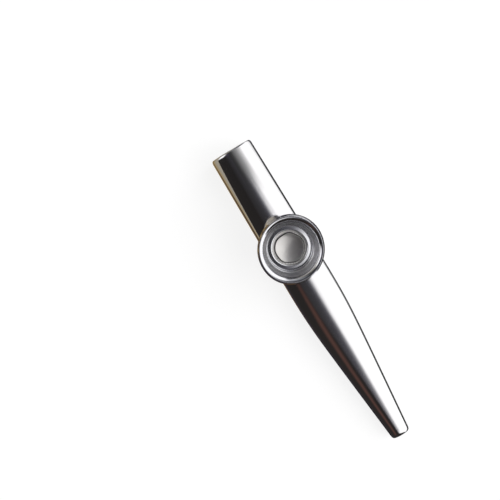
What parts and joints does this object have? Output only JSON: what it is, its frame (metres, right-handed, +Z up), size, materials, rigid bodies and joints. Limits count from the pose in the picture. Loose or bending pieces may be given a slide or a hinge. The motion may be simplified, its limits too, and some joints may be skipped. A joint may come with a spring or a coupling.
{
  "type": "kazoo",
  "caption": "Slim sheet-metal kazoo: tapered lapped shells, a collar with a screwed flared bell, and a film membrane clamped under it.",
  "frame": {"origin": "centre of the object's bounding box, on the plane that its flat belly rests on", "axes": "+X from the wide mouth end to the narrow tip, +Y across the body, +Z up through the turret"},
  "size_m": [0.12, 0.0234, 0.0207],
  "materials": {
    "shell_metal": "polished, with a faint rolled grain",
    "bell_metal": "spun and polished, with fine concentric marks",
    "seat_fibre": "matte fibre",
    "ring_plastic": "matte",
    "film": "thin translucent film, slightly crinkled"
  },
  "bodies": {
    "body": {"lower_shell": "shell_metal", "upper_shell": "shell_metal", "turret_socket": "shell_metal", "seat_washer": "seat_fibre"},
    "membrane": {"membrane_ring": "ring_plastic", "membrane_film": "film"},
    "bell": {"turret_bell": "bell_metal"}
  },
  "joints": [
    {"name": "membrane_lift", "type": "slide", "parent": "body", "child": "membrane", "axis": [0.0665, 0, 0.9978], "range_m": [0, 0.0024]},
    {"name": "bell_turn", "type": "hinge", "parent": "membrane", "child": "bell", "pos_m": [-0.02, 0, 0.01113], "axis": [0.0665, 0, 0.9978], "range_deg": [0, 720]}
  ],
  "couplings": [
    {"joint": "membrane_lift", "follows": "bell_turn", "m_per_rad": 0.00019098}
  ]
}
